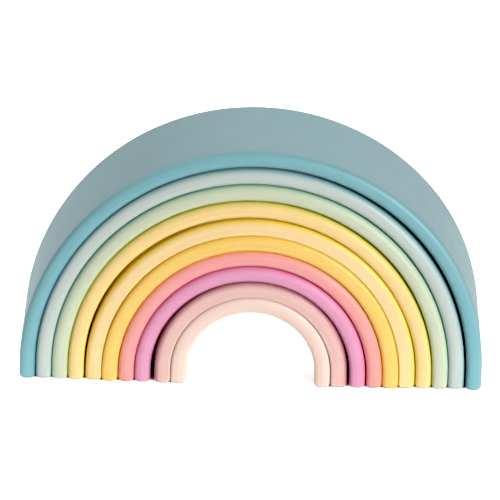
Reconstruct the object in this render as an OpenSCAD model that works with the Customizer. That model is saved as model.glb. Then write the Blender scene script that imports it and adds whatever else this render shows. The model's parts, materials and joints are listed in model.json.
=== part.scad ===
// Rainbow stacker: ten soft arches that nest in one another and stand on their own feet.
// Millimetres, +Z up, +X to the right along the width, +Y to the back.
// The origin is on the ground, at the middle of the nest's footprint.

/* [Nest] */
// Width over the legs of the outermost arch
nest_w = 264; // [210:1:400]
// Depth of every arch from front to back
arch_d = 77; // [30:1:160]
// Thickness of every arch's band
band_t = 9; // [6:0.1:12]
// Height of the straight legs below the outermost arch's half round
leg_h = 8.8; // [7:0.1:60]

/* [Rounding] */
// Radius of the long edges at the front and the back of the band
edge_r = 3; // [1:0.1:5]
// Radius of the edges round the sole of each foot
sole_r = 2.2; // [0.5:0.1:4]

/* [Play between each arch and the next one inwards] */
// Play at one leg, with the inner arch in the middle
side_play = [0.7, 0.3, 0.3, 0.7, 0.3, 0.4, 0.5, 1.9, 0.4]; // [0.3:0.1:4]
// Play under the crown
crown_play = [1.4, 0.9, 1, 1.6, 0.7, 0.4, 0.3, 0.3, 0.3]; // [0.3:0.1:4]

/* [How the arches stand] */
// Share of the side play by which the inner arch stands left of the middle
off_middle = [0.6, 0, 0.3, -0.4, 0, -0.2, 0.5, -0.2, 0.2]; // [-0.8:0.1:0.8]
// How far each arch stands forward of the outermost one
forward = [0, 0, 0, 0, 0, 1.2, 1, 1.2, 1.6, 2.2]; // [0:0.1:20]

/* [Hidden] */
$fn = 96;

// Narrowest flat that stays between two rounded edges
flat_min = 1;
// Least by which the radius of the upright edges exceeds that of the sole
radius_step = 0.25;
edge = min(edge_r, (band_t - flat_min) / 2);
sole = min(sole_r, edge - radius_step);
flat_t = band_t - 2 * edge;
flat_d = arch_d - 2 * edge;

// Sum of the first n entries of a list
function sum_to(list, n) = n < 1 ? 0 : list[n - 1] + sum_to(list, n - 1);

// Sizes and place of arch i, counted from 0 at the outermost one
function outer_r(i) = nest_w / 2 - i * band_t - sum_to(side_play, i);
function inner_r(i) = outer_r(i) - band_t;
function crown_h(i) = leg_h + nest_w / 2 - i * band_t - sum_to(crown_play, i);
function leg(i) = crown_h(i) - outer_r(i);
function shift_x(i) = i < 1 ? 0 : shift_x(i - 1) - off_middle[i - 1] * side_play[i - 1];
function shift_y(i) = max(forward) / 2 - forward[i];

// Cross section of the band, with its inner face on the Y axis
module band_section() {
    for (x = [edge, band_t - edge], y = [-flat_d / 2, flat_d / 2])
        translate([x, y]) circle(edge);
    translate([0, -flat_d / 2]) square([band_t, flat_d]);
    translate([edge, -arch_d / 2]) square([flat_t, arch_d]);
}

// Upright strip as wide as the rounded edge, down from the leg's top, with its lower outer corner rounded
module leg_edge_section(h) {
    translate([0, -h]) square([edge - sole, h]);
    translate([edge - sole, sole - h]) {
        square([sole, h - sole]);
        intersection() {
            circle(sole);
            translate([0, -sole]) square(sole);
        }
    }
}

// One straight leg of height h on its foot, down from the origin and centred on it in plan
module straight_leg(h) {
    translate([0, 0, -h / 2]) cube([flat_t, flat_d, h], center = true);
    for (side = [0, 180]) rotate([0, 0, side]) {
        translate([flat_t / 2, 0, 0]) rotate([90, 0, 0])
            linear_extrude(flat_d, center = true) leg_edge_section(h);
        translate([0, flat_d / 2, 0]) rotate([90, 0, 90])
            linear_extrude(flat_t, center = true) leg_edge_section(h);
        translate([flat_t / 2, flat_d / 2, 0])
            rotate_extrude(angle = 90) leg_edge_section(h);
        translate([-flat_t / 2, flat_d / 2, 0]) rotate([0, 0, 90])
            rotate_extrude(angle = 90) leg_edge_section(h);
    }
}

// Arch i: a half round of the band on two straight legs
module arch(i) {
    translate([shift_x(i), shift_y(i), leg(i)]) {
        rotate([90, 0, 0])
            rotate_extrude(angle = 180) translate([inner_r(i), 0]) band_section();
        for (side = [-1, 1])
            translate([side * (inner_r(i) + band_t / 2), 0, 0]) straight_leg(leg(i));
    }
}

module teal_arch() { color("#8cc3cd") arch(0); }
module pale_blue_arch() { color("#cfdbd6") arch(1); }
module mint_arch() { color("#d7e1c6") arch(2); }
module lemon_arch() { color("#ffe49f") arch(3); }
module cream_arch() { color("#ffe0aa") arch(4); }
module gold_arch() { color("#fed77c") arch(5); }
module coral_arch() { color("#ffb1ac") arch(6); }
module orchid_arch() { color("#eca4c6") arch(7); }
module dusty_pink_arch() { color("#f2c3ba") arch(8); }
module peach_arch() { color("#fae0d2") arch(9); }

teal_arch();
pale_blue_arch();
mint_arch();
lemon_arch();
cream_arch();
gold_arch();
coral_arch();
orchid_arch();
dusty_pink_arch();
peach_arch();
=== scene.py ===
import json
import math
import bpy
from mathutils import Matrix, Vector, noise


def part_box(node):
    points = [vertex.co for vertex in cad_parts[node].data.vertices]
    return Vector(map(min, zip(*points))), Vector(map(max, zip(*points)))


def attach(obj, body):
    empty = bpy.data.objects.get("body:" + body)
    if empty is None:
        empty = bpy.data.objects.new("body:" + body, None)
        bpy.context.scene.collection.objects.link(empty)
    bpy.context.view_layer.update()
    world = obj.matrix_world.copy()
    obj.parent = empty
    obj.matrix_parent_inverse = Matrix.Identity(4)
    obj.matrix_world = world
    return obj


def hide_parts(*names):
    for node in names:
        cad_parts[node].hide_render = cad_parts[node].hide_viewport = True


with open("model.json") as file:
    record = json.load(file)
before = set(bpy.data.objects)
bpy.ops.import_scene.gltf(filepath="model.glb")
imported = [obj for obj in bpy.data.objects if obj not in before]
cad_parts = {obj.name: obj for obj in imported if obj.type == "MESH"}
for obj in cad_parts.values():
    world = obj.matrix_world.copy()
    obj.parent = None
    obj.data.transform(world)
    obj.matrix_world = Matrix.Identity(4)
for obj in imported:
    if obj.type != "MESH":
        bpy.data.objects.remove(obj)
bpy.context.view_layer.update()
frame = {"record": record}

scene = bpy.context.scene


# node helpers
def addNode(tree, kind, place, **values):
    node = tree.nodes.new(kind)
    node.location = place
    for key, value in values.items():
        setattr(node, key, value)
    return node


def feed(tree, socket, value):
    # a socket takes a link or a fixed value
    if isinstance(value, bpy.types.NodeSocket):
        tree.links.new(value, socket)
    else:
        socket.default_value = value


def startGroup(name, inputs, outputs):
    tree = bpy.data.node_groups.new(name, "ShaderNodeTree")
    for label, kind, value in inputs:
        tree.interface.new_socket(label, in_out="INPUT", socket_type=kind).default_value = value
    for label, kind in outputs:
        tree.interface.new_socket(label, in_out="OUTPUT", socket_type=kind)
    return tree, addNode(tree, "NodeGroupInput", (-900, 0)), addNode(tree, "NodeGroupOutput", (1200, 0))


def mathNode(tree, operation, place, *values, clamp=False):
    node = addNode(tree, "ShaderNodeMath", place, operation=operation, use_clamp=clamp)
    for socket, value in zip(node.inputs, values):
        feed(tree, socket, value)
    return node.outputs[0]


def mixNode(tree, kind, place, share, first, second, blend="MIX"):
    node = addNode(tree, "ShaderNodeMix", place, data_type=kind, blend_type=blend)
    a, b, result = {"RGBA": (6, 7, 2), "FLOAT": (2, 3, 0)}[kind]  # the node has one set of sockets per kind
    for index, value in ((0, share), (a, first), (b, second)):
        feed(tree, node.inputs[index], value)
    return node.outputs[result]


def rampNode(tree, place, source, span, values=(0, 1)):
    node = addNode(tree, "ShaderNodeMapRange", place, interpolation_type="SMOOTHSTEP")
    for label, value in zip(("Value", "From Min", "From Max", "To Min", "To Max"), (source, *span, *values)):
        feed(tree, node.inputs[label], value)
    return node.outputs["Result"]


def noiseNode(tree, place, vector, scale, detail, rough):
    node = addNode(tree, "ShaderNodeTexNoise", place)
    for label, value in (("Vector", vector), ("Scale", scale), ("Detail", detail), ("Roughness", rough)):
        feed(tree, node.inputs[label], value)
    return node.outputs["Fac"]


def stretchedUv(tree, place, stretch):
    uv = addNode(tree, "ShaderNodeUVMap", place, uv_map="band")
    mapping = addNode(tree, "ShaderNodeMapping", (place[0] + 180, place[1]))
    mapping.inputs["Scale"].default_value = (*stretch, 1)
    tree.links.new(uv.outputs["UV"], mapping.inputs["Vector"])
    return mapping.outputs["Vector"]


# colour of moulded silicone: cloudy pigment, faint flow lines along the band, rims painted with the shade of
# the crevices between bands, a little lint
pigment = {"cloudScale": 22, "cloud": 0.12, "flow": 0.35, "flowStretch": (6, 620),
           "flowGain": 3.4, "flowShift": -1.3, "faceFlow": 0.35,
           "outerRimShading": (0.0014, 0.0068), "innerRimShading": (-0.002, -0.0068), "face": (0.0072, 0.0105),
           "lint": 0.1, "lintScale": 420, "lintSize": 0.1, "lintPatches": 240, "lintFrom": 0.62,
           "lintColour": (0.93, 0.92, 0.9, 1), "rubScale": 60, "rub": 0.16}


def makeToneAndShading():
    grey, value = (0.8, 0.8, 0.8, 1), "NodeSocketFloat"
    colours = ("Tone", "Face", "Outer Rim Shading", "Inner Rim Shading", "Tint")
    inputs = [(label, "NodeSocketColor", grey) for label in colours]
    inputs += [("Half Round", value, 0.08), ("Rough", value, 0.5),
               ("Cloud Scale", value, pigment["cloudScale"]), ("Cloud", value, pigment["cloud"]),
               ("Flow", value, pigment["flow"]), ("Lint", value, pigment["lint"])]
    outputs = [("Color", "NodeSocketColor"), ("Roughness", value)]
    tree, start, end = startGroup("siliconeToneAndShading", inputs, outputs)
    given, link = start.outputs, tree.links.new
    coord = addNode(tree, "ShaderNodeTexCoord", (-900, 300)).outputs["Object"]
    cloud = noiseNode(tree, (-650, 350), coord, given["Cloud Scale"], 3, 0.55)
    flow = noiseNode(tree, (-450, 150), stretchedUv(tree, (-900, 150), pigment["flowStretch"]), 1, 2, 0.5)
    cloudShare = mathNode(tree, "MULTIPLY", (-300, 350), cloud, given["Cloud"])
    gain, shift = pigment["flowGain"], pigment["flowShift"]
    streak = mathNode(tree, "MULTIPLY_ADD", (-300, 50), flow, gain, shift, clamp=True)
    flowShare = mathNode(tree, "MULTIPLY", (-300, 150), streak, given["Flow"])
    streaks = mathNode(tree, "ADD", (-100, 250), cloudShare, flowShare, clamp=True)
    # distance across the outline from the ridge of the nearer nose, outwards positive
    side = addNode(tree, "ShaderNodeSeparateXYZ", (-650, 700))
    link(addNode(tree, "ShaderNodeUVMap", (-900, 700), uv_map="band").outputs["UV"], side.inputs[0])
    folded = mathNode(tree, "PINGPONG", (-450, 700), side.outputs["Y"], given["Half Round"])
    quarter = mathNode(tree, "MULTIPLY", (-450, 550), given["Half Round"], 0.5)
    fromNose = mathNode(tree, "SUBTRACT", (-250, 700), folded, quarter)
    # painted shade: the rims that lie against the neighbours take colours deeper than the noses and the broad
    # faces, standing in for the shade and coloured bounce in the crevices between bands
    outer = rampNode(tree, (100, 700), fromNose, pigment["outerRimShading"])
    inner = rampNode(tree, (320, 700), fromNose, pigment["innerRimShading"])
    broad = rampNode(tree, (540, 700), mathNode(tree, "ABSOLUTE", (-250, 900), fromNose), pigment["face"])
    colour = mixNode(tree, "RGBA", (200, 450), outer, given["Tone"], given["Outer Rim Shading"])
    colour = mixNode(tree, "RGBA", (420, 450), inner, colour, given["Inner Rim Shading"])
    # the broad faces take the Face colour; on teal that is painted sheen reflection and painted shade
    colour = mixNode(tree, "RGBA", (640, 450), broad, colour, given["Face"])
    # the flow lines fade on the broad faces
    fainter = mathNode(tree, "MULTIPLY_ADD", (760, 700), broad, pigment["faceFlow"] - 1, 1)
    tinting = mathNode(tree, "MULTIPLY", (760, 550), streaks, fainter)
    colour = mixNode(tree, "RGBA", (860, 450), tinting, colour, given["Tint"], "MULTIPLY")
    # lint: sparse pale flecks
    cells = addNode(tree, "ShaderNodeTexVoronoi", (-650, -150), feature="F1")
    cells.inputs["Scale"].default_value = pigment["lintScale"]
    link(coord, cells.inputs["Vector"])
    fleck = mathNode(tree, "LESS_THAN", (-450, -150), cells.outputs["Distance"], pigment["lintSize"])
    patches = noiseNode(tree, (-650, -350), coord, pigment["lintPatches"], 0, 0.5)
    pick = mathNode(tree, "GREATER_THAN", (-450, -300), patches, pigment["lintFrom"])
    lint = mathNode(tree, "MULTIPLY", (-250, -200), fleck, pick)
    lintShare = mathNode(tree, "MULTIPLY", (-80, -150), lint, given["Lint"])
    link(mixNode(tree, "RGBA", (1000, 100), lintShare, colour, pigment["lintColour"]), end.inputs["Color"])
    # rubbed patches are a little shinier
    patch = noiseNode(tree, (-650, -550), coord, pigment["rubScale"], 4, 0.6)
    rubbed = mathNode(tree, "MULTIPLY_ADD", (-300, -550), patch, pigment["rub"], -pigment["rub"] / 2)
    roughness = mathNode(tree, "ADD", (100, -450), given["Rough"], rubbed, clamp=True)
    link(roughness, end.inputs["Roughness"])
    return tree


# height of the skin: fine satin grain, shallow tool lines that follow the band, a slow ripple
texture = {"grainScale": 2600, "grain": 0.4, "lineStretch": (9, 1500), "lines": 0.35,
           "rippleScale": 70, "ripple": 1}


def makeSkin():
    value = "NodeSocketFloat"
    inputs = [("Grain Scale", value, texture["grainScale"]), ("Grain", value, texture["grain"]),
              ("Lines", value, texture["lines"]), ("Ripple", value, texture["ripple"])]
    tree, start, end = startGroup("siliconeSkin", inputs, [("Height", value)])
    coord = addNode(tree, "ShaderNodeTexCoord", (-900, 300)).outputs["Object"]
    grain = noiseNode(tree, (-650, 350), coord, start.outputs["Grain Scale"], 2, 0.6)
    lines = noiseNode(tree, (-450, 100), stretchedUv(tree, (-900, 100), texture["lineStretch"]), 1, 3, 0.6)
    ripple = noiseNode(tree, (-650, -150), coord, texture["rippleScale"], 2, 0.5)
    grainShare = mathNode(tree, "MULTIPLY", (-250, 350), grain, start.outputs["Grain"])
    lineShare = mathNode(tree, "MULTIPLY", (-250, 100), lines, start.outputs["Lines"])
    rippleShare = mathNode(tree, "MULTIPLY", (-250, -150), ripple, start.outputs["Ripple"])
    height = mathNode(tree, "ADD", (100, 200), grainShare, lineShare)
    tree.links.new(mathNode(tree, "ADD", (300, 100), height, rippleShare), end.inputs["Height"])
    return tree


tone, skin = makeToneAndShading(), makeSkin()
print("node groups ready")

# what all the moulded colours share
silicone = {"rough": 0.46, "bump": 0.4, "bumpDepth": 0.00008, "ior": 1.42, "glowScale": 0.0025,
            "hazeRough": 0.45, "coatRough": 0.35}


def siliconeMaterial(name, look, girth):
    material = bpy.data.materials.new(name)
    material.use_nodes = True
    tree = material.node_tree
    shader = tree.nodes["Principled BSDF"]
    colour = addNode(tree, "ShaderNodeGroup", (-500, 200), node_tree=tone)
    face = look.get("face", look["tone"])
    for label, value in (("Tone", look["tone"]), ("Face", face), ("Outer Rim Shading", look["outerRimShading"]),
                         ("Inner Rim Shading", look["innerRimShading"]), ("Tint", look["tint"])):
        colour.inputs[label].default_value = (*value, 1)
    colour.inputs["Half Round"].default_value = girth / 2
    colour.inputs["Rough"].default_value = silicone["rough"]
    tree.links.new(colour.outputs["Color"], shader.inputs["Base Color"])
    tree.links.new(colour.outputs["Roughness"], shader.inputs["Roughness"])
    height = addNode(tree, "ShaderNodeGroup", (-700, -250), node_tree=skin)
    bump = addNode(tree, "ShaderNodeBump", (-300, -250))
    bump.inputs["Strength"].default_value = silicone["bump"]
    bump.inputs["Distance"].default_value = silicone["bumpDepth"]
    tree.links.new(height.outputs["Height"], bump.inputs["Height"])
    tree.links.new(bump.outputs["Normal"], shader.inputs["Normal"])
    for label, value in (("IOR", silicone["ior"]), ("Subsurface Weight", look["glow"]),
                         ("Subsurface Radius", look["reach"]), ("Subsurface Scale", silicone["glowScale"]),
                         ("Sheen Weight", look["haze"]), ("Sheen Roughness", silicone["hazeRough"]),
                         ("Coat Weight", look["coat"]), ("Coat Roughness", silicone["coatRough"])):
        shader.inputs[label].default_value = value
    return material


# shape of every band: metres, and spans as shares of its height
band = {"thick": 0.009, "nose": 0.0034, "sole": 0.0024, "lift": 0.001,
        "leanSpan": (0.05, 0.7), "sagSpan": (0.3, 1), "wobble": 0.00002, "wobbleScale": 38, "wobbleStep": 900,
        "noseSteps": 22, "longSteps": 10, "archSteps": 132, "legSteps": 4, "soleSteps": 7}


def run(first, last, steps):
    return [first + (last - first) * k / steps for k in range(steps)]


def smoothStep(span, value):
    t = min(1, max(0, (value - span[0]) / (span[1] - span[0])))
    return t * t * (3 - 2 * t)


# the outline runs round from the middle of the inner face: front nose, outer face, back nose
def bandOutline(depth, inset, full):
    a, b, straight = band["thick"] / 2 - inset, band["nose"] - inset, depth / 2 - band["nose"]
    points = []

    def nose(offset, turn):
        for k in range(band["noseSteps"]):
            angle = math.radians(turn + 180 * k / band["noseSteps"])
            power = full[math.cos(angle) > 0]  # inner side first, then outer
            c, d = (math.copysign(abs(v) ** (2 / power), v) for v in (math.cos(angle), math.sin(angle)))
            slope = [math.copysign(abs(v) ** (power - 1), v) for v in (c, d)]
            n = Vector((slope[0] / a, slope[1] / b)).normalized()
            points.append((a * c, offset + b * d, n.x, n.y))

    half = band["longSteps"] // 2
    points += [(-a, y, -1, 0) for y in run(0, -straight, half)]
    nose(-straight, 180)
    points += [(a, y, 1, 0) for y in run(-straight, straight, band["longSteps"])]
    nose(straight, 0)
    points += [(-a, y, -1, 0) for y in run(straight, 0, half)]
    return points


# places on the middle line from the left foot to the right one: x, z, the way outwards, inset of the outline
def bandStations(centreLine, leg):
    soleRound = [math.radians(90 * k / band["soleSteps"]) for k in range(band["soleSteps"], 0, -1)]
    feet = [(band["sole"] * (1 - math.sin(t)), band["sole"] * (1 - math.cos(t))) for t in soleRound]
    feet += [(z, 0) for z in run(band["sole"], leg, band["legSteps"])]
    stations = [(-centreLine, z, -1, 0, inset) for z, inset in feet]
    for k in range(band["archSteps"] + 1):
        angle = math.pi * (1 - k / band["archSteps"])
        across, up = math.cos(angle), math.sin(angle)
        stations.append((centreLine * across, leg + centreLine * up, across, up, 0))
    return stations + [(centreLine, z, 1, 0, inset) for z, inset in reversed(feet)]


# faces between neighbouring outlines and over both soles, with a UV for each corner
def bandFaces(points, along, around):
    count, faces, uvs = len(around) - 1, [], []
    for k in range(len(along) - 1):
        here, there = k * count, (k + 1) * count
        for j in range(count):
            n = (j + 1) % count
            faces.append((here + j, here + n, there + n, there + j))
            uvs += [(along[k], around[j]), (along[k], around[j + 1])]
            uvs += [(along[k + 1], around[j + 1]), (along[k + 1], around[j])]
    last = len(points) - count
    for sole in (range(count - 1, -1, -1), range(last, len(points))):
        faces.append(tuple(sole))
        uvs += [(points[k].x, points[k].y) for k in sole]
    return faces, uvs


# a band swept from the left foot over the crown to the right foot
def makeArch(body, look):
    node = frame["record"]["behaviour"]["bodies"][body][0]
    low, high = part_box(node)
    middle, depth = (low + high) / 2, high.y - low.y
    outer = (high.x - low.x) / 2
    leg, centreLine = high.z - outer + band["lift"], outer - band["thick"] / 2
    plain = bandOutline(depth, 0, look["full"])
    around = [0]
    for p, q in zip(plain, plain[1:] + plain[:1]):
        around.append(around[-1] + math.hypot(q[0] - p[0], q[1] - p[1]))

    points, along, before = [], [], None
    for x, z, across, up, inset in bandStations(centreLine, leg):
        along.append(along[-1] + math.hypot(x - before[0], z - before[1]) if before else 0)
        before = (x, z)
        for a, b, na, nb in bandOutline(depth, inset, look["full"]):
            a -= (look["swell"] * up * up + look["fill"]) * max(0, -a) / (band["thick"] / 2)
            spot = Vector((x + a * across, b + look["back"], z + a * up))
            normal = Vector((na * across, nb, na * up))
            ripple = noise.noise(spot * band["wobbleScale"] + Vector((outer * band["wobbleStep"], 0, 0)))
            spot += normal * band["wobble"] * ripple
            height = spot.z / high.z
            spot.x += look["lean"] * smoothStep(band["leanSpan"], height) + look["yaw"] * (b / depth + 0.5)
            spot.z = max(0, spot.z - look["sag"] * smoothStep(band["sagSpan"], height))
            points.append(spot + Vector((middle.x, middle.y, 0)))

    faces, uvs = bandFaces(points, along, around)
    mesh = bpy.data.meshes.new(body + "Band")
    mesh.from_pydata(points, [], faces)
    layer = mesh.uv_layers.new(name="band")
    for loop, uv in zip(layer.data, uvs):
        loop.uv = uv
    mesh.polygons.foreach_set("use_smooth", [True] * len(mesh.polygons))
    mesh.materials.append(siliconeMaterial(body + "Silicone", look, around[-1]))
    mesh.update()
    piece = bpy.data.objects.new(body + "_band", mesh)
    scene.collection.objects.link(piece)
    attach(piece, body)
    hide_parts(node)


# colours are linear, and the rim colours are painted crevice shade; reach is how far red, green and blue
# travel inside; haze is the soft sheen
# lean, sag, yaw and back say how a band stands, in metres; swell thickens it under the crown, fill all along
# full squares the nose, inner side first; what a band doesn't say is as in usual
usual = {"haze": 0.2, "coat": 0.18, "lean": 0, "sag": 0, "yaw": 0, "back": 0,
         "full": (2.25, 2.25), "swell": 0, "fill": 0}
# teal's face and outer rim are painted greyer and darker than its tone: painted sheen reflection and painted
# shade on the broad faces
teal = {"tone": (0.23, 0.478, 0.525), "tint": (0.73, 0.84, 0.86), "face": (0.22, 0.4, 0.44),
        "outerRimShading": (0.22, 0.4, 0.44), "innerRimShading": (0.03, 0.16, 0.22),
        "coat": 0.08, "glow": 0.3, "reach": (0.4, 0.8, 1),
        "lean": 0.00145, "yaw": -0.00015, "swell": 0.0001}
paleBlue = {"tone": (0.565, 0.631, 0.59), "tint": (0.84, 0.86, 0.85),
            "outerRimShading": (0.2, 0.46, 0.49), "innerRimShading": (0.36, 0.57, 0.53),
            "glow": 0.4, "reach": (0.8, 1, 0.9),
            "lean": 0.0005, "sag": 0.00015, "yaw": 0.0006, "back": 0.0005}
mint = {"tone": (0.63, 0.681, 0.514), "tint": (0.84, 0.86, 0.8),
        "outerRimShading": (0.42, 0.63, 0.47), "innerRimShading": (0.44, 0.6, 0.2),
        "glow": 0.45, "reach": (0.8, 1, 0.6),
        "lean": 0.0002, "sag": 0.00016, "yaw": 0.00045}
lemon = {"tone": (0.945, 0.703, 0.333), "tint": (0.86, 0.8, 0.7),
         "outerRimShading": (0.74, 0.66, 0.1), "innerRimShading": (0.88, 0.67, 0.04),
         "glow": 0.6, "reach": (1.2, 0.9, 0.3),
         "lean": -0.0005, "sag": 0.00018, "yaw": 0.00042, "swell": 0.0004}
cream = {"tone": (0.949, 0.713, 0.38), "tint": (0.86, 0.81, 0.72),
         "outerRimShading": (0.88, 0.65, 0.05), "innerRimShading": (0.97, 0.76, 0.16),
         "haze": 0.1, "glow": 0.6, "reach": (0.8, 0.6, 0.25),
         "lean": 0.0004, "sag": 0.00013, "full": (8, 2.5), "swell": 0.00005, "fill": 0.0001}
gold = {"tone": (0.93, 0.65, 0.195), "tint": (0.86, 0.79, 0.67),
        "outerRimShading": (0.97, 0.6, 0.06), "innerRimShading": (0.97, 0.5, 0.07),
        "haze": 0.1, "glow": 0.6, "reach": (0.8, 0.6, 0.2),
        "lean": 0.00055, "sag": -0.00035, "full": (2.6, 3), "swell": 0.0003, "fill": 0.0001}
coral = {"tone": (0.902, 0.412, 0.393), "tint": (0.86, 0.73, 0.73),
         "outerRimShading": (0.95, 0.42, 0.19), "innerRimShading": (0.86, 0.17, 0.22),
         "haze": 0.12, "glow": 0.55, "reach": (0.8, 0.4, 0.3),
         "lean": 0.00025, "sag": -0.00015}
orchid = {"tone": (0.777, 0.37, 0.534), "tint": (0.86, 0.74, 0.79),
          "outerRimShading": (0.8, 0.23, 0.42), "innerRimShading": (0.4, 0.06, 0.22),
          "glow": 0.5, "reach": (1, 0.4, 0.6),
          "lean": 0.0001, "sag": 0.00015}
dustyPink = {"tone": (0.8, 0.549, 0.506), "tint": (0.86, 0.78, 0.77),
             "outerRimShading": (0.42, 0.11, 0.17), "innerRimShading": (0.88, 0.6, 0.54),
             "glow": 0.75, "reach": (1.4, 0.8, 0.6),
             "sag": -0.00003, "full": (6, 2.25), "fill": 0.00005}
peach = {"tone": (0.85, 0.672, 0.596), "tint": (0.86, 0.81, 0.79),
         "outerRimShading": (0.95, 0.72, 0.64), "innerRimShading": (0.93, 0.68, 0.6),
         "glow": 0.75, "reach": (1.4, 1, 0.7),
         "lean": 0.00005, "sag": -0.00015, "full": (2.25, 3.2), "swell": 0.0005}

looks = {"teal": teal, "pale_blue": paleBlue, "mint": mint, "lemon": lemon, "cream": cream,
         "gold": gold, "coral": coral, "orchid": orchid, "dusty_pink": dustyPink, "peach": peach}
for body, look in looks.items():
    makeArch(body, {**usual, **look})
print("ten bands swept")

# white floor, which throws less light back up than it shows, and less still away from the bands
floorLook = {"size": 8, "drop": 0.0002, "colour": 0.93, "mirrored": 0.3, "near": 0.5, "far": 0.09,
             "stretch": (4, 6, 1), "fade": (0.6, 1.3), "rough": 0.7, "specular": 0.1}
half = floorLook["size"] / 2
corners = [(x * half, y * half, -floorLook["drop"]) for x, y in ((-1, -1), (1, -1), (1, 1), (-1, 1))]
floorMesh = bpy.data.meshes.new("floor")
floorMesh.from_pydata(corners, [], [(0, 1, 2, 3)])
floor = bpy.data.objects.new("floor", floorMesh)
scene.collection.objects.link(floor)
paper = bpy.data.materials.new("paper")
paper.use_nodes = True
tree = paper.node_tree
sheet = tree.nodes["Principled BSDF"]
stretch = addNode(tree, "ShaderNodeMapping", (-1100, 0))
stretch.inputs["Scale"].default_value = floorLook["stretch"]
feed(tree, stretch.inputs["Vector"], addNode(tree, "ShaderNodeTexCoord", (-1300, 0)).outputs["Object"])
reach = addNode(tree, "ShaderNodeVectorMath", (-900, 0), operation="LENGTH")
feed(tree, reach.inputs[0], stretch.outputs["Vector"])
nearFar = (floorLook["near"], floorLook["far"])
bounce = rampNode(tree, (-700, 0), reach.outputs["Value"], floorLook["fade"], nearFar)
path = addNode(tree, "ShaderNodeLightPath", (-700, 400)).outputs
thrown = mixNode(tree, "FLOAT", (-450, 0), path["Is Glossy Ray"], bounce, floorLook["mirrored"])
shade = mixNode(tree, "FLOAT", (-250, 0), path["Is Camera Ray"], thrown, floorLook["colour"])
feed(tree, sheet.inputs["Base Color"], shade)
sheet.inputs["Roughness"].default_value = floorLook["rough"]
sheet.inputs["Specular IOR Level"].default_value = floorLook["specular"]
floorMesh.materials.append(paper)
print("floor ready")

# a dim room that shows white, with a bright wall behind that only reflections see
room = {"dim": 0.1, "wall": 1.1, "wallSpan": (0.44, 0.76), "seen": 1}
world = bpy.data.worlds.new("studio")
scene.world = world
world.use_nodes = True
tree = world.node_tree
tree.nodes.clear()
split = addNode(tree, "ShaderNodeSeparateXYZ", (-700, 0))
feed(tree, split.inputs[0], addNode(tree, "ShaderNodeTexCoord", (-900, 0)).outputs["Generated"])
behind = rampNode(tree, (-500, 0), split.outputs["Y"], room["wallSpan"], (room["dim"], room["wall"]))
path = addNode(tree, "ShaderNodeLightPath", (-500, 300)).outputs
mirrored = mixNode(tree, "FLOAT", (-250, 0), path["Is Glossy Ray"], room["dim"], behind)
seen = mixNode(tree, "FLOAT", (-50, 0), path["Is Camera Ray"], mirrored, room["seen"])
sky = addNode(tree, "ShaderNodeBackground", (150, 0))
sky.inputs["Color"].default_value = (1, 1, 1, 1)
feed(tree, sky.inputs["Strength"], seen)
out = addNode(tree, "ShaderNodeOutputWorld", (350, 0))
feed(tree, out.inputs["Surface"], sky.outputs["Background"])

# softboxes: turn is degrees to the right of the front, height degrees above the floor
# away and size are metres, level is the white it gives face on
softboxes = {"key": {"turn": 42, "height": 20, "away": 2.6, "size": 0.81, "level": 0.86},
             "fill": {"turn": -35, "height": 15, "away": 1.8, "size": 0.9, "level": 0.07},
             "overhead": {"turn": -75, "height": 74, "away": 1.6, "size": 1, "level": 0.17},
             "backLeft": {"turn": -115, "height": 45, "away": 1.8, "size": 1, "level": 0.33},
             "back": {"turn": 180, "height": 1, "away": 1.8, "size": 1, "level": 0.6}}
nestMiddle = Vector((0, 0, 0.05))


def addLamp(name, kind, place, aim):
    lamp = bpy.data.objects.new(name, bpy.data.lights.new(name, kind))
    lamp.location = place
    lamp.rotation_euler = (aim - place).to_track_quat("-Z", "Y").to_euler()
    scene.collection.objects.link(lamp)
    return lamp


for name, box in softboxes.items():
    turn, height = math.radians(box["turn"]), math.radians(box["height"])
    ahead = Vector((math.sin(turn), -math.cos(turn), 0))
    towards = ahead * math.cos(height) + Vector((0, 0, math.sin(height)))
    lamp = addLamp(name, "AREA", nestMiddle + towards * box["away"], nestMiddle)
    lamp.data.size = box["size"]
    lamp.data.energy = box["level"] * (math.pi * box["away"]) ** 2
    lamp.visible_glossy = name != "back"  # the lamp behind only lightens, it makes no glints

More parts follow.
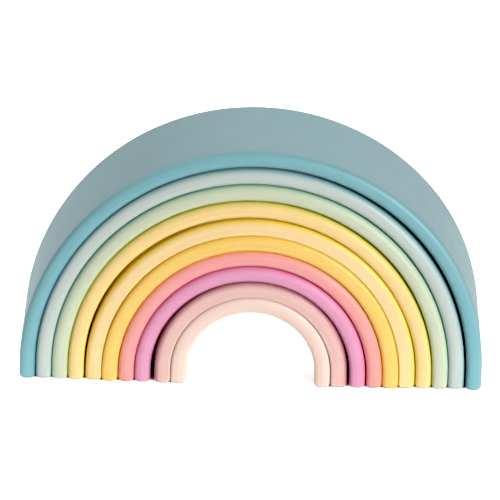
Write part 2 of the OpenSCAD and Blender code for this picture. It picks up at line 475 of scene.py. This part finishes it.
# a narrow lamp that lifts the front of the crowns
crownLamp = {"place": (0.25, -0.85, 0.55), "aim": (0, -0.04, 0.14), "level": 0.16, "soft": 0.2, "cone": 15}
lamp = addLamp("crownSpot", "SPOT", Vector(crownLamp["place"]), Vector(crownLamp["aim"]))
lamp.data.energy = crownLamp["level"] * 4 * math.pi ** 2
lamp.data.shadow_soft_size = crownLamp["soft"]
lamp.data.spot_size, lamp.data.spot_blend = math.radians(crownLamp["cone"]), 1

# suns that fall on the floor alone and keep it white
floorSuns = {"level": 0.9, "soft": 12, "tilt": 50, "turns": (-30, 30, 150, 210)}
floorOnly = bpy.data.collections.new("floorOnly")
floorOnly.objects.link(floor)
for turn in floorSuns["turns"]:
    sun = bpy.data.objects.new("floorSun", bpy.data.lights.new("floorSun", "SUN"))
    sun.data.energy, sun.data.angle = floorSuns["level"] * math.pi, math.radians(floorSuns["soft"])
    sun.rotation_euler = (math.radians(floorSuns["tilt"]), 0, math.radians(turn))
    sun.light_linking.receiver_collection = floorOnly
    scene.collection.objects.link(sun)
print("light ready")

# the camera, rolled a little; focal is in picture widths, black darkens the deepest tones
shot = {"place": (0.0024, -2.6271, 1.1507), "turn": -0.1, "pitch": 22.4, "roll": 1.53,
        "focal": 9.9206, "sensor": 36, "clip": (0.1, 50), "black": 0.02}
turn, pitch, roll = (math.radians(shot[k]) for k in ("turn", "pitch", "roll"))
ahead = Vector((math.sin(turn) * math.cos(pitch), math.cos(turn) * math.cos(pitch), -math.sin(pitch)))
level = Vector((math.cos(turn), -math.sin(turn), 0))
upright = level.cross(ahead)
right = level * math.cos(roll) + upright * math.sin(roll)
up = upright * math.cos(roll) - level * math.sin(roll)
lens = bpy.data.cameras.new("camera")
lens.sensor_width = shot["sensor"]
lens.lens = shot["sensor"] * shot["focal"]
lens.clip_start, lens.clip_end = shot["clip"]
camera = bpy.data.objects.new("camera", lens)
camera.location = shot["place"]
camera.rotation_euler = Matrix((right, up, -ahead)).transposed().to_euler()
scene.collection.objects.link(camera)
scene.camera = camera
scene.view_settings.view_transform = "Standard"
scene.view_settings.use_curve_mapping = True
scene.view_settings.curve_mapping.black_level = (shot["black"],) * 3
scene.view_settings.curve_mapping.update()
print("camera ready")
